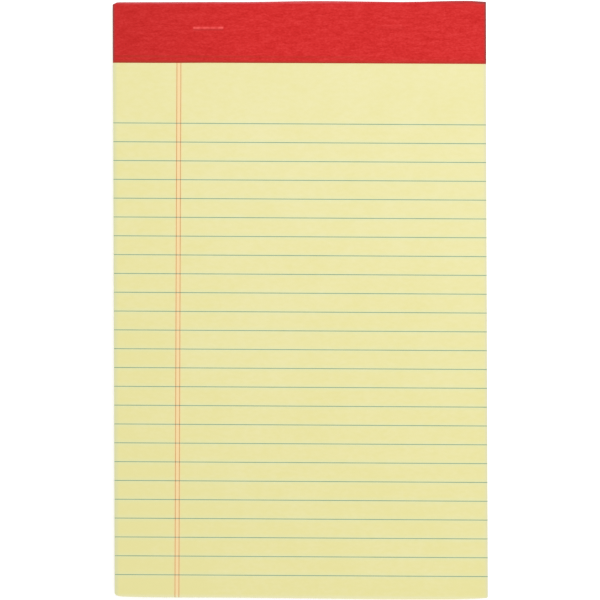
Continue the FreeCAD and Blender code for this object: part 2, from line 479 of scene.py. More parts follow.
def random_vector(tree, axes, reach, seed):
    """A random vector for each sheet, up to the reach either way along the axes."""
    ends = [
        add(
            tree,
            "ShaderNodeVectorMath",
            tuple(way * axis for axis in axes),
            {"Scale": reach},
            operation="SCALE",
        )
        for way in (-1.0, 1.0)
    ]
    return add(
        tree, "FunctionNodeRandomValue", *ends, {"Seed": seed}, data_type="FLOAT_VECTOR"
    )


stacked, given = new_geometry_tree(
    "stacked_sheets",
    {
        "Sheet Count": ("Int", SHEET_COUNT),
        "Sheet Pitch": ("Float", sheet_pitch),
        "Slip": ("Float", SHEET_SLIP),
        "Turn": ("Float", SHEET_TURN),
        "Seed": ("Int", 7),
        "Head": ("Float", block_high[1]),
        "Page": ("Float", block_high[2]),
        "Fold Radius": ("Float", FOLD_RADIUS),
        "Material": ("Material", None),
    },
)
step = add(stacked, "ShaderNodeCombineXYZ", {"Z": given["Sheet Pitch"]})
levels = add(
    stacked, "GeometryNodeMeshLine", {"Count": given["Sheet Count"], "Offset": step}
)
sheets = add(
    stacked,
    "GeometryNodeInstanceOnPoints",
    {"Points": levels, "Instance": given["Geometry"]},
)
slip = random_vector(stacked, (1.0, 1.0, 0.0), given["Slip"], given["Seed"])
sheets = add(stacked, "GeometryNodeTranslateInstances", {"Instances": sheets, "Translation": slip})
other_seed = add(stacked, "ShaderNodeMath", given["Seed"], 1.0, operation="ADD")
turn = random_vector(stacked, (0.0, 0.0, 1.0), given["Turn"], other_seed)
sheets = add(stacked, "GeometryNodeRotateInstances", {"Instances": sheets, "Rotation": turn})
real = add(stacked, "GeometryNodeRealizeInstances", sheets)
here = add(stacked, "ShaderNodeSeparateXYZ", add(stacked, "GeometryNodeInputPosition"))
round_from = add(
    stacked, "ShaderNodeMath", given["Page"], given["Fold Radius"], operation="SUBTRACT"
)
above = add(stacked, "ShaderNodeMath", here.outputs["Z"], round_from, operation="SUBTRACT")
above = add(stacked, "ShaderNodeMath", above, 0.0, operation="MAXIMUM")
above = add(stacked, "ShaderNodeMath", above, given["Fold Radius"], operation="DIVIDE")
above = add(stacked, "ShaderNodeMath", above, 1.0, operation="MINIMUM")
angle = add(stacked, "ShaderNodeMath", above, operation="ARCSINE")
kept = add(stacked, "ShaderNodeMath", angle, operation="COSINE")
lost = add(stacked, "ShaderNodeMath", 1.0, kept, operation="SUBTRACT")
lost = add(stacked, "ShaderNodeMath", lost, given["Fold Radius"], operation="MULTIPLY")
limit = add(stacked, "ShaderNodeMath", given["Head"], lost, operation="SUBTRACT")
held = add(stacked, "ShaderNodeMath", here.outputs["Y"], limit, operation="MINIMUM")
held = add(
    stacked, "ShaderNodeCombineXYZ", {"X": here.outputs["X"], "Y": held, "Z": here.outputs["Z"]}
)
rounded = add(stacked, "GeometryNodeSetPosition", {"Geometry": real, "Position": held})
bent = add(stacked, "GeometryNodeGroup", {"Geometry": rounded}, node_tree=settled)
finished = add(
    stacked, "GeometryNodeSetMaterial", {"Geometry": bent, "Material": given["Material"]}
)
add(stacked, "NodeGroupOutput", finished)


def off_nearest_rule(tree, spot):
    """How far a point is from the nearest writing line, where the lines' pitch is 1."""
    level_y = add(
        tree,
        "ShaderNodeMath",
        spot.outputs["X"],
        math.tan(RULE_SKEW),
        spot.outputs["Y"],
        operation="MULTIPLY_ADD",
    )
    down = add(tree, "ShaderNodeMath", head_y - FIRST_RULE, level_y, operation="SUBTRACT")
    number = add(tree, "ShaderNodeMath", down, RULE_PITCH, operation="DIVIDE")
    nearest = add(tree, "ShaderNodeMath", number, operation="ROUND")
    nearest = add(tree, "ShaderNodeClamp", nearest, 0.0, RULE_COUNT - 1.0)
    off_rule = add(tree, "ShaderNodeMath", number, nearest, operation="SUBTRACT")
    return add(tree, "ShaderNodeMath", off_rule, operation="ABSOLUTE")


# Canary paper is matt and faintly cloudy from the way its pulp settled on the wire. Its cut edges
# are duller, sheet by sheet. The page is greyed along its right side and its foot. Along its left
# side it is painted darker as shade, and it is painted deeper towards its foot and its left.
canary, tree, shader, place = new_material("canary_writing_paper")
spot = add(tree, "ShaderNodeSeparateXYZ", place)
cloud = add(tree, "ShaderNodeTexNoise", {"Vector": place, "Scale": 1 / CLOUD_SIZE, "Detail": 3.0})
cloud = add(tree, "ShaderNodeMapRange", cloud, 0.3, 0.7, -CLOUD_SHARE, CLOUD_SHARE)
across = add(tree, "ShaderNodeMapping", {"Vector": place, "Scale": (0.5, 1.0, 1.0)})
fibre = add(
    tree, "ShaderNodeTexNoise", {"Vector": across, "Scale": 1 / FIBRE_SIZE, "Detail": 2.0}
)
fibre_tone = add(tree, "ShaderNodeMapRange", fibre, 0.3, 0.7, -FIBRE_SHARE, FIBRE_SHARE)
page_head = head_y - TAPE_FRONT_DEPTH
# The deep canary is painted in towards the foot and the left as shade
shade_to_foot = add(tree, "ShaderNodeMapRange", spot.outputs["Y"], page_head, foot_y, *PAINTED_SHADE_DOWN)
mottle = add(tree, "ShaderNodeMath", cloud, fibre_tone, operation="ADD")
mottle = add(tree, "ShaderNodeMath", mottle, shade_to_foot, operation="ADD")
to_left = add(
    tree,
    "ShaderNodeMapRange",
    spot.outputs["X"],
    PAINTED_SHADE_LEFT_FROM,
    -half_width,
    0.0,
    PAINTED_SHADE_LEFT,
)
mottle = add(tree, "ShaderNodeMath", mottle, to_left, operation="ADD")
paper_colour = add(
    tree, "ShaderNodeMix", mottle, linear(CANARY), linear(CANARY_DEEP), data_type="RGBA"
)
rule_blush = add(
    tree,
    "ShaderNodeMapRange",
    {
        "Value": off_nearest_rule(tree, spot),
        "From Min": RULE_BLUSH_REACH[0] / RULE_PITCH,
        "From Max": RULE_BLUSH_REACH[1] / RULE_PITCH,
        "To Min": RULE_BLUSH_SHARE,
        "To Max": 0.0,
    },
    interpolation_type="SMOOTHSTEP",
)
paper_colour = add(
    tree, "ShaderNodeMix", rule_blush, paper_colour, linear(RULE_BLUSH), data_type="RGBA"
)
lean = add(
    tree,
    "ShaderNodeMath",
    spot.outputs["Y"],
    -math.tan(MARGIN_SKEW),
    spot.outputs["X"],
    operation="MULTIPLY_ADD",
)
off_margin = add(tree, "ShaderNodeMath", lean, MARGIN_PLACE, operation="SUBTRACT")
off_margin = add(tree, "ShaderNodeMath", off_margin, operation="ABSOLUTE")
for inner, outer, share in MARGIN_BLUSHES:
    blush = add(
        tree,
        "ShaderNodeMapRange",
        off_margin,
        MARGIN_SPACING * inner,
        MARGIN_SPACING * outer,
        share,
        0.0,
        interpolation_type="SMOOTHSTEP",
    )
    paper_colour = add(
        tree, "ShaderNodeMix", blush, paper_colour, linear(MARGIN_BLUSH), data_type="RGBA"
    )
from_left = add(tree, "ShaderNodeMath", spot.outputs["X"], half_width, operation="ADD")
from_right = add(tree, "ShaderNodeMath", half_width, spot.outputs["X"], operation="SUBTRACT")
from_foot = add(
    tree,
    "ShaderNodeMath",
    spot.outputs["X"],
    math.tan(BOTTOM_SKEW),
    spot.outputs["Y"],
    operation="MULTIPLY_ADD",
)
from_foot = add(tree, "ShaderNodeMath", from_foot, foot_y, operation="SUBTRACT")
# Along the left edge this is a painted shade; the right edge and the foot are greyed
for inwards, (reach, share, greyed) in (
    (from_left, PAINTED_SHADE_LEFT_EDGE),
    (from_right, GREYED_RIGHT_EDGE),
    (from_foot, GREYED_FOOT_EDGE),
):
    edge_tint = add(
        tree,
        "ShaderNodeMapRange",
        inwards,
        EDGE_TINT_FLAT,
        reach,
        share,
        0.0,
        interpolation_type="SMOOTHSTEP",
    )
    paper_colour = add(
        tree, "ShaderNodeMix", edge_tint, paper_colour, linear(greyed), data_type="RGBA"
    )
tone_scale = (1 / CUT_TONE_LENGTH, 1 / CUT_TONE_LENGTH, CUT_TONE_STEP / sheet_pitch)
by_sheet = add(tree, "ShaderNodeMapping", {"Vector": place, "Scale": tone_scale})
sheet_tone = add(tree, "ShaderNodeTexNoise", {"Vector": by_sheet, "Scale": 1.0, "Detail": 2.0})
sheet_tone = add(
    tree, "ShaderNodeMapRange", {"Value": sheet_tone, "From Min": 0.35, "From Max": 0.7}
)
cut_colour = add(
    tree, "ShaderNodeMix", sheet_tone, linear(CANARY), linear(CANARY_CUT), data_type="RGBA"
)
facing = add(
    tree, "ShaderNodeSeparateXYZ", add(tree, "ShaderNodeTexCoord").outputs["Normal"]
)
flat = add(tree, "ShaderNodeMath", facing.outputs["Z"], operation="ABSOLUTE")
paper_colour = add(tree, "ShaderNodeMix", flat, cut_colour, paper_colour, data_type="RGBA")
tooth = add(tree, "ShaderNodeBump", {"Strength": 0.2, "Distance": TOOTH_DEPTH, "Height": fibre})
tree.links.new(paper_colour.outputs["Result"], shader.inputs["Base Color"])
tree.links.new(tooth.outputs["Normal"], shader.inputs["Normal"])
shader.inputs["Roughness"].default_value = 0.85
shader.inputs["Specular IOR Level"].default_value = 0.3

paper = put(
    "ruled_sheets",
    leaf(
        "ruled_sheets",
        block_low[2] + sheet_pitch * (1 - SHEET_FILL),
        block_low[2] + sheet_pitch,
        SHEET_INSET,
        SHEET_CORNERS,
    ),
)
apply_tree(paper, stacked, material=canary)
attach(paper, "root")
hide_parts("sheet_block")


# The writing lines are ruled in thin blue ink, which sinks into the canary paper and
# dries a grey-green. One pass of a ruling machine draws them all, so they share one
# spacing and one slight turn on the sheet.
RULE_WIDTH = 0.25e-3
RULE_FILM = 0.008e-3
RULE_CELLS = 40
RULE_BLUE = "#7BA288"
RULE_BLUE_THIN = "#8DB096"
INK_WANDER = 0.8e-3  # how soon the ink's density changes across a line
INK_STRETCH = 0.15  # and by how much slower it does along one

ruling, given = new_geometry_tree(
    "ruled_lines",
    {
        "Line Count": ("Int", RULE_COUNT),
        "Line Size": ("Vector", None),
        "First Line": ("Vector", None),
        "Step": ("Vector", None),
        "Cells Across": ("Int", 1),
        "Cells Along": ("Int", 1),
        "Lean": ("Vector", None),
        "Material": ("Material", None),
    },
)
cells = [
    add(ruling, "ShaderNodeMath", given[name], 1.0, operation="ADD")
    for name in ("Cells Across", "Cells Along")
]
line = add(
    ruling,
    "GeometryNodeMeshCube",
    {"Size": given["Line Size"], "Vertices X": cells[0], "Vertices Y": cells[1]},
)
places = add(
    ruling,
    "GeometryNodeMeshLine",
    {
        "Count": given["Line Count"],
        "Start Location": given["First Line"],
        "Offset": given["Step"],
    },
)
lines = add(ruling, "GeometryNodeInstanceOnPoints", {"Points": places, "Instance": line})
real = add(ruling, "GeometryNodeRealizeInstances", lines)
here = add(ruling, "ShaderNodeSeparateXYZ", add(ruling, "GeometryNodeInputPosition"))
crosswise = add(
    ruling, "ShaderNodeCombineXYZ", {"X": here.outputs["Y"], "Y": here.outputs["X"]}
)
lean = add(ruling, "ShaderNodeVectorMath", crosswise, given["Lean"], operation="MULTIPLY")
leaned = add(ruling, "GeometryNodeSetPosition", {"Geometry": real, "Offset": lean})
bent = add(ruling, "GeometryNodeGroup", {"Geometry": leaned}, node_tree=settled)
finished = add(
    ruling, "GeometryNodeSetMaterial", {"Geometry": bent, "Material": given["Material"]}
)
add(ruling, "NodeGroupOutput", finished)


def ruling_ink(name, full, thin, stretch):
    """Ruling ink is thin as water: it dries matt and its density wanders along a line."""
    made, tree, shader, place = new_material(name)
    along = add(tree, "ShaderNodeMapping", {"Vector": place, "Scale": stretch})
    density = add(
        tree, "ShaderNodeTexNoise", {"Vector": along, "Scale": 1 / INK_WANDER, "Detail": 3.0}
    )
    density = add(
        tree, "ShaderNodeMapRange", {"Value": density, "From Min": 0.35, "From Max": 0.75}
    )
    dried = add(tree, "ShaderNodeMix", density, linear(full), linear(thin), data_type="RGBA")
    tree.links.new(dried.outputs["Result"], shader.inputs["Base Color"])
    shader.inputs["Roughness"].default_value = 0.85
    shader.inputs["Specular IOR Level"].default_value = 0.3
    return made, tree, shader, place, dried


blue_ink = ruling_ink("blue_ruling_ink", RULE_BLUE, RULE_BLUE_THIN, (INK_STRETCH, 1.0, 1.0))[0]
rules = put("blue_writing_lines", bpy.data.meshes.new("blue_writing_lines"))
apply_tree(
    rules,
    ruling,
    line_count=RULE_COUNT,
    line_size=(2 * (half_width - 2 * SHEET_INSET), RULE_WIDTH, RULE_FILM),
    first_line=(0.0, head_y - FIRST_RULE, page_top + RULE_FILM / 2),
    step=(0.0, -RULE_PITCH, 0.0),
    cells_across=RULE_CELLS,
    lean=(0.0, -math.tan(RULE_SKEW), 0.0),
    material=blue_ink,
)
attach(rules, "root")
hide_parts("blue_rules")


# The margin's double line is ruled in coral ink down the whole page, over the blue
# lines, and dries darker where it crosses one.
MARGIN_WIDTH = 0.25e-3
MARGIN_FILM = 0.016e-3
MARGIN_CELLS = 60
CORAL = "#D69E62"
CORAL_THIN = "#DBB076"
CORAL_CROSSED = "#8F6E58"
CROSSING_REACH = (0.4, 0.8)  # in widths of a writing line, from its middle
TAPE_SKEW = math.radians(0.45)
TAPE_SAG = 0.14e-3  # the strip was laid by hand, and its left end comes down so far
TAPE_SAG_PLACE = -38e-3
TAPE_SAG_REACH = 7e-3


def tape_edge(x):
    """Where the tape's free edge lies on the page, at x."""
    sag = TAPE_SAG * (1 - np.tanh((x - TAPE_SAG_PLACE) / TAPE_SAG_REACH)) / 2
    return head_y - TAPE_FRONT_DEPTH - x * math.tan(TAPE_SKEW) - sag


coral_ink, tree, shader, place, dried = ruling_ink(
    "coral_ruling_ink", CORAL, CORAL_THIN, (1.0, INK_STRETCH, 1.0)
)
spot = add(tree, "ShaderNodeSeparateXYZ", place)
crossing = add(
    tree,
    "ShaderNodeMapRange",
    {
        "Value": off_nearest_rule(tree, spot),
        "From Min": CROSSING_REACH[0] * RULE_WIDTH / RULE_PITCH,
        "From Max": CROSSING_REACH[1] * RULE_WIDTH / RULE_PITCH,
        "To Min": 1.0,
        "To Max": 0.0,
    },
)
overprint = add(
    tree, "ShaderNodeMix", crossing, dried, linear(CORAL_CROSSED), data_type="RGBA"
)
tree.links.new(overprint.outputs["Result"], shader.inputs["Base Color"])

margin_foot = bottom_cut(MARGIN_PLACE + foot_y * math.tan(MARGIN_SKEW))
margin_head = tape_edge(MARGIN_PLACE)
margin = put("coral_margin_lines", bpy.data.meshes.new("coral_margin_lines"))
apply_tree(
    margin,
    ruling,
    line_count=2,
    line_size=(MARGIN_WIDTH, margin_head - margin_foot, MARGIN_FILM),
    first_line=(
        MARGIN_PLACE - MARGIN_SPACING / 2,
        (margin_head + margin_foot) / 2,
        page_top + MARGIN_FILM / 2,
    ),
    step=(MARGIN_SPACING, 0.0, 0.0),
    cells_along=MARGIN_CELLS,
    lean=(math.tan(MARGIN_SKEW), 0.0, 0.0),
    material=coral_ink,
)
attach(margin, "root")
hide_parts("margin_rules")


# Two staples of flat galvanised wire go through sheets and board and are clinched on
# the back. The tape covers both their tops and their folded legs.
WIRE_GREY = "#B4B5B6"
WIRE_DULL = "#8F9193"
DIE_MARK_WIDTH = 0.15e-3
DIE_MARK_STRETCH = 0.1  # ten times as long as it is wide

# Galvanised wire is a soft grey metal with fine marks from the die it was drawn through.
wire, tree, shader, place = new_material("galvanised_wire")
drawn = add(tree, "ShaderNodeMapping", {"Vector": place, "Scale": (DIE_MARK_STRETCH, 1.0, 1.0)})
die_mark = add(tree, "ShaderNodeTexNoise", {"Vector": drawn, "Scale": 1 / DIE_MARK_WIDTH})
zinc = add(
    tree, "ShaderNodeMix", die_mark, linear(WIRE_GREY), linear(WIRE_DULL), data_type="RGBA"
)
tree.links.new(zinc.outputs["Result"], shader.inputs["Base Color"])
shader.inputs["Metallic"].default_value = 1.0
shader.inputs["Roughness"].default_value = 0.38
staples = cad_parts["staples"]
staples.data.materials.clear()
staples.data.materials.append(wire)


# The header tape is one strip of red leatherette paper, embossed with a fine grain and
# lightly varnished. It is glued round the head from front to back, shows the staples as
# faint ridges, and is creased just above its free edge, where the glue ends.
TAPE_BACK_DEPTH = 20e-3
TAPE_BACK_SINK = 0.05e-3  # the back flap lies so far above the table between the legs
RIDGE_PLACE = 9.08e-3  # from the head to a ridge's crest, which lies off the wire's middle
STAPLE_SPACING = 62e-3
STAPLE_LENGTH = 12.7e-3
LEG_DISTANCE = 3.7e-3  # between the ends of a staple's folded legs
RIDGE_HEIGHT = 0.10e-3
RIDGE_WIDTH = 0.36e-3
RIDGE_BOW = 0.6e-3  # the right staple's wire is bent towards the head by as much
RIDGE_END = (-0.2e-3, 0.7e-3)  # past the wire's end, where a ridge begins and stops to fall
LEG_END = (-0.5e-3, 0.4e-3)  # the same past a folded leg's end
EDGE_DROP = 0.07e-3
EDGE_DROP_REACH = 0.5e-3
CREASE_PLACE = 2.1e-3  # above the free edge
CREASE_DEPTH = 0.03e-3
CREASE_SLOPE = (-0.25e-3, 0.25e-3)  # the step down runs from the one to the other
LUMP_HEIGHT = 0.05e-3
LUMP_SIZE = 9e-3
LUMP_STRETCH = (1.0, 2.2, 2.2)  # they are longest across the pad
FOLD_SHARPNESS = math.radians(50)  # a mesh edge that turns by more stays an edge
FRONT_ROWS = 80
FOLD_ROWS = 8
WALL_ROWS = 8
BACK_ROWS = 40
TAPE_COLUMNS = 220
TAPE_RED = "#D4201F"
TAPE_RED_DEEP = "#C61412"
TAPE_RED_PALE = "#DF2F2E"
# Painted highlights on the fold and on the ridges, a painted shade, a grey for the darker sides
# and the painted corner shade, and a brown painted shade
TAPE_FOLD_HIGHLIGHT = "#E27A80"
TAPE_RIDGE_HIGHLIGHT = "#FF5F5D"
TAPE_PAINTED_SHADE = "#86221E"
TAPE_DARK_GREY = "#84403E"
TAPE_SHADE_BROWN = "#AC341C"
WRINKLE_SIZE = 0.42e-3  # the embossed grain, as wide as this and twice as long
WRINKLE_STRETCH = 0.5
STREAK_SIZE = 0.8e-3
STREAK_STRETCH = 0.2
STREAK_WEIGHT = 0.55
GRAIN_RANGE = (0.51, 1.04)  # what the grain's noise comes to in its dips and on its tops
GRAIN_SHEEN = (0.6, 0.42)  # the roughness there
GRAIN_DEPTH = 0.04e-3
PATCH_SIZE = 2.5e-3
# How each painted highlight, painted shade and darkening fades: from where, to where, and its
# share at these two places. The places are x for what changes across the pad, and distances from
# the marked spot otherwise.
FOLD_BAND = (0.95e-3, 0.35e-3)  # from the fold
FOLD_TOP_DOWN = (0.12e-3, 0.32e-3, 1.0, 0.0)
FOLD_HIGHLIGHT_ACROSS = (45e-3, -20e-3, 0.2, 0.6)
FOLD_HIGHLIGHT_PATCHES = (0.3, 0.6, 0.4, 1.0)
FOLD_SHADE_DOWN = (0.6e-3, 1.3e-3, 0.5, 0.0)
RIGHT_FOLD_SHADE_ACROSS = (35e-3, 62e-3, 0.12, 0.6)
RIGHT_FOLD_SHADE_REACH = (0.3e-3, 1.3e-3)
CORNER_SHADE_ACROSS = (59.5e-3, 61.5e-3, 0.0, 0.65)
CORNER_SHADE_REACH = (0.75e-3, 1.4e-3)
CORNER_SHADE_DOWN = (0.5e-3, 2.5e-3, 1.0, 0.15)
LEFT_SHADE_ACROSS = (-62e-3, -15e-3, 0.17, 0.0)
SHOULDER = 1.2e-3  # the end of a staple's wire, which bends down
SHOULDER_FADE = (0.3e-3, 0.2e-3)  # before it and past it
RIDGE_HIGHLIGHT_ACROSS = (-10e-3, 10e-3, 0.97, 0.2)
RIDGE_HIGHLIGHT_PATCHES = (0.42, 0.56, 0.45, 1.0)
RIDGE_SHADOW_PLACE = 0.62e-3  # below a ridge's middle
RIDGE_SHADOW_ACROSS = (-10e-3, 10e-3, 0.28, 0.08)
RIDGE_SHADOW_REACH = (0.1e-3, 0.45e-3)
SIDE_DARKER = (0.2e-3, 0.9e-3, 0.85, 0.0)
EDGE_SHADE_FROM = 0.2e-3
EDGE_SHADE_REACH_ACROSS = (0.0, 40e-3, 1.0e-3, 1.6e-3)
EDGE_SHADE_ACROSS = (0.0, 40e-3, 0.95, 0.6)
CREASE_SHADE_REACH = (0.15e-3, 0.55e-3)
CREASE_SHADE_ACROSS = (26e-3, 8e-3, 0.05, 0.42)
CREASE_BREAK = 9e-3  # it is now stronger and now weaker along its run
CREASE_BREAKS = (0.4, 0.6, 0.6, 1.0)

tape_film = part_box("header_tape")[1][2] - page_top
tape_top = page_top + tape_film - HEAD_PRESS
fold_y = head_y - HEAD_IN
stack_y = block_high[1]
under_z = board_low[2]


def wrapped(x, row, proud):
    """Points on the strip, from its front edge round to its back edge, so far proud of
    what it is glued to."""
    turn_y = stack_y - FOLD_RADIUS
    radius = FOLD_RADIUS + proud
    high, low = page_top - FOLD_RADIUS, under_z + FOLD_RADIUS
    back_edge = head_y - TAPE_BACK_DEPTH + x * math.tan(TAPE_SKEW)
    y = np.empty_like(x)
    z = np.empty_like(x)
    start = 0
    for part, rows in enumerate((FRONT_ROWS, FOLD_ROWS, WALL_ROWS, FOLD_ROWS, BACK_ROWS)):
        on = (row >= start) & (row <= start + rows)
        share = (row[on] - start) / rows
        sine, cosine = np.sin(share * math.pi / 2), np.cos(share * math.pi / 2)
        y[on], z[on] = (
            (tape_edge(x[on]) * (1 - share) + turn_y * share, page_top + proud),
            (turn_y + radius * sine, high + radius * cosine),
            (stack_y + proud, high * (1 - share) + low * share),
            (turn_y + radius * cosine, low - radius * sine),
            (turn_y * (1 - share) + back_edge[on] * share, under_z - proud),
        )[part]
        start += rows
    return np.stack([x, y, z], -1)


tape_x, tape_row = np.meshgrid(
    np.linspace(-half_width, half_width, TAPE_COLUMNS),
    np.arange(FRONT_ROWS + 2 * FOLD_ROWS + WALL_ROWS + BACK_ROWS + 1),
)
tape_mesh = closed_skin(
    "leatherette_tape", wrapped(tape_x, tape_row, tape_film), wrapped(tape_x, tape_row, 0.0)
)
outside = tape_mesh.attributes.new("outside", "FLOAT", "POINT")
outside.data.foreach_set("value", np.repeat([1.0, 0.0], tape_x.size))

laid, given = new_geometry_tree(
    "laid_tape",
    {
        "Ridge Height": ("Float", RIDGE_HEIGHT),
        "Ridge Width": ("Float", RIDGE_WIDTH),
        "Ridge Bow": ("Float", RIDGE_BOW),
        "Staple Length": ("Float", STAPLE_LENGTH),
        "Leg Distance": ("Float", LEG_DISTANCE),
        "Staple Spacing": ("Float", STAPLE_SPACING),
        "Staple Line": ("Float", head_y - RIDGE_PLACE),
        "Free Edge": ("Float", tape_edge(0)),
        "Edge Skew": ("Float", math.tan(TAPE_SKEW)),
        "Edge Drop": ("Float", EDGE_DROP),
        "Crease Place": ("Float", CREASE_PLACE),
        "Crease Depth": ("Float", CREASE_DEPTH),
        "Back Sink": ("Float", TAPE_BACK_SINK),
        "Lump Height": ("Float", LUMP_HEIGHT),
        "Lump Seed": ("Float", 3.0),
        "Page": ("Float", page_top),
        "Base": ("Float", under_z),
        "Material": ("Material", None),
    },
)
position = add(laid, "GeometryNodeInputPosition")
here = add(laid, "ShaderNodeSeparateXYZ", position)
on_front = add(
    laid, "ShaderNodeMath", here.outputs["Z"], given["Page"], 1e-6, operation="COMPARE"
)
above_page = add(
    laid, "ShaderNodeMath", here.outputs["Z"], given["Page"], operation="GREATER_THAN"
)
on_front = add(laid, "ShaderNodeMath", on_front, above_page, operation="MAXIMUM")
on_back = add(laid, "ShaderNodeMath", here.outputs["Z"], given["Base"], operation="LESS_THAN")

# How far a point is from the nearer staple, along its wire and across it
half_spacing = add(laid, "ShaderNodeMath", given["Staple Spacing"], 0.5, operation="MULTIPLY")
half_length = add(laid, "ShaderNodeMath", given["Staple Length"], 0.5, operation="MULTIPLY")
leg_end = add(laid, "ShaderNodeMath", given["Leg Distance"], 0.5, operation="MULTIPLY")
along_wire = add(laid, "ShaderNodeMath", here.outputs["X"], operation="ABSOLUTE")
along_wire = add(laid, "ShaderNodeMath", along_wire, half_spacing, operation="SUBTRACT")
along_wire = add(laid, "ShaderNodeMath", along_wire, operation="ABSOLUTE")
past_end = add(laid, "ShaderNodeMath", along_wire, half_length, operation="SUBTRACT")
over_wire = add(
    laid,
    "ShaderNodeMapRange",
    past_end,
    *RIDGE_END,
    1.0,
    0.0,
    interpolation_type="SMOOTHSTEP",
)
past_leg = add(laid, "ShaderNodeMath", along_wire, leg_end, operation="SUBTRACT")
over_leg = add(
    laid, "ShaderNodeMapRange", past_leg, *LEG_END, interpolation_type="SMOOTHSTEP"
)
bow = add(laid, "ShaderNodeMath", along_wire, half_length, operation="DIVIDE")
bow = add(laid, "ShaderNodeMath", bow, bow, operation="MULTIPLY")
bow = add(laid, "ShaderNodeMath", 1.0, bow, operation="SUBTRACT")
bow = add(laid, "ShaderNodeMath", bow, given["Ridge Bow"], operation="MULTIPLY")
on_right = add(laid, "ShaderNodeMath", here.outputs["X"], 0.0, operation="GREATER_THAN")
bow = add(laid, "ShaderNodeMath", bow, on_right, operation="MULTIPLY")
bow = add(laid, "ShaderNodeMath", bow, on_front, operation="MULTIPLY")
off_wire = add(
    laid, "ShaderNodeMath", here.outputs["Y"], given["Staple Line"], operation="SUBTRACT"
)
off_wire = add(laid, "ShaderNodeMath", off_wire, bow, operation="SUBTRACT")
ridge = bell(laid, off_wire, given["Ridge Width"])
ridge = add(laid, "ShaderNodeMath", ridge, over_wire, operation="MULTIPLY")
front_ridge = add(laid, "ShaderNodeMath", ridge, on_front, operation="MULTIPLY")
height = add(laid, "ShaderNodeMath", front_ridge, given["Ridge Height"], operation="MULTIPLY")

# The front flap thins to its free edge and is creased a little above it
above_edge = add(
    laid,
    "ShaderNodeMath",
    here.outputs["X"],
    given["Edge Skew"],
    here.outputs["Y"],
    operation="MULTIPLY_ADD",
)
above_edge = add(
    laid, "ShaderNodeMath", above_edge, given["Free Edge"], operation="SUBTRACT"
)
drop = add(
    laid, "ShaderNodeMapRange", above_edge, 0.0, EDGE_DROP_REACH, given["Edge Drop"], 0.0
)
below_crease = add(
    laid, "ShaderNodeMath", given["Crease Place"], above_edge, operation="SUBTRACT"
)
crease = add(
    laid,
    "ShaderNodeMapRange",
    below_crease,
    *CREASE_SLOPE,
    0.0,
    given["Crease Depth"],
    interpolation_type="SMOOTHSTEP",
)
drop = add(laid, "ShaderNodeMath", drop, crease, operation="ADD")
drop = add(laid, "ShaderNodeMath", drop, on_front, operation="MULTIPLY")

# The back flap is drawn in between the folded legs, and low lumps cross the whole strip
leg = add(laid, "ShaderNodeMath", ridge, over_leg, operation="MULTIPLY")
off_leg = add(laid, "ShaderNodeMath", 1.0, leg, operation="SUBTRACT")
off_leg = add(laid, "ShaderNodeMath", off_leg, on_back, operation="MULTIPLY")
drop = add(
    laid, "ShaderNodeMath", off_leg, given["Back Sink"], drop, operation="MULTIPLY_ADD"
)
stretched = add(laid, "ShaderNodeVectorMath", position, LUMP_STRETCH, operation="MULTIPLY")
lump = add(
    laid,
    "ShaderNodeTexNoise",
    {"Vector": stretched, "W": given["Lump Seed"], "Scale": 1 / LUMP_SIZE, "Detail": 2.0},
    noise_dimensions="4D",
)
lump = add(
    laid,
    "ShaderNodeMapRange",
    {"Value": lump, "From Min": 0.75, "From Max": 0.25, "To Max": given["Lump Height"]},
)
drop = add(laid, "ShaderNodeMath", drop, lump, operation="ADD")
outer_face = add(
    laid, "GeometryNodeInputNamedAttribute", {"Name": "outside"}, data_type="FLOAT"
)
drop = add(laid, "ShaderNodeMath", drop, outer_face, operation="MULTIPLY")
normal = add(laid, "GeometryNodeInputNormal")
normal = add(laid, "ShaderNodeVectorMath", normal, (0.0, 1.0, 1.0), operation="MULTIPLY")
sunk = add(laid, "ShaderNodeMath", drop, -1.0, operation="MULTIPLY")
sunk = add(laid, "ShaderNodeVectorMath", normal, {"Scale": sunk}, operation="SCALE")
raised = add(laid, "ShaderNodeCombineXYZ", {"Z": height})
shift = add(laid, "ShaderNodeVectorMath", sunk, raised, operation="ADD")
marked = add(
    laid,
    "GeometryNodeStoreNamedAttribute",
    {"Geometry": given["Geometry"], "Name": "ridge", "Value": front_ridge},
    data_type="FLOAT",
)
shaped = add(laid, "GeometryNodeSetPosition", {"Geometry": marked, "Offset": shift})
bent = add(laid, "GeometryNodeGroup", {"Geometry": shaped}, node_tree=settled)
real = add(laid, "GeometryNodeRealizeInstances", bent)
finished = add(
    laid, "GeometryNodeSetMaterial", {"Geometry": real, "Material": given["Material"]}
)
add(laid, "NodeGroupOutput", finished)

# Leatherette paper is embossed with short shallow wrinkles that run mostly across the pad. Its
# thin varnish gives a soft sheen. Painted highlights lie along the fold's top and on the staples'
# ridges. Painted shades lie along the fold, below the ridges, over the left end, along the crease
# and along the free edge, and the cut sides are darker.
leatherette, tree, shader, place = new_material("red_leatherette_paper")
spot = add(tree, "ShaderNodeSeparateXYZ", place)
drawn_out = add(
    tree, "ShaderNodeMapping", {"Vector": place, "Scale": (WRINKLE_STRETCH, 1.0, 1.0)}
)
wrinkle = add(
    tree,
    "ShaderNodeTexNoise",
    {"Vector": drawn_out, "Scale": 1 / WRINKLE_SIZE, "Detail": 3.0, "Roughness": 0.6},
)
drawn_out = add(
    tree, "ShaderNodeMapping", {"Vector": place, "Scale": (STREAK_STRETCH, 1.0, 1.0)}
)
streak = add(
    tree, "ShaderNodeTexNoise", {"Vector": drawn_out, "Scale": 1 / STREAK_SIZE, "Detail": 2.0}
)
grain = add(tree, "ShaderNodeMath", streak, STREAK_WEIGHT, wrinkle, operation="MULTIPLY_ADD")
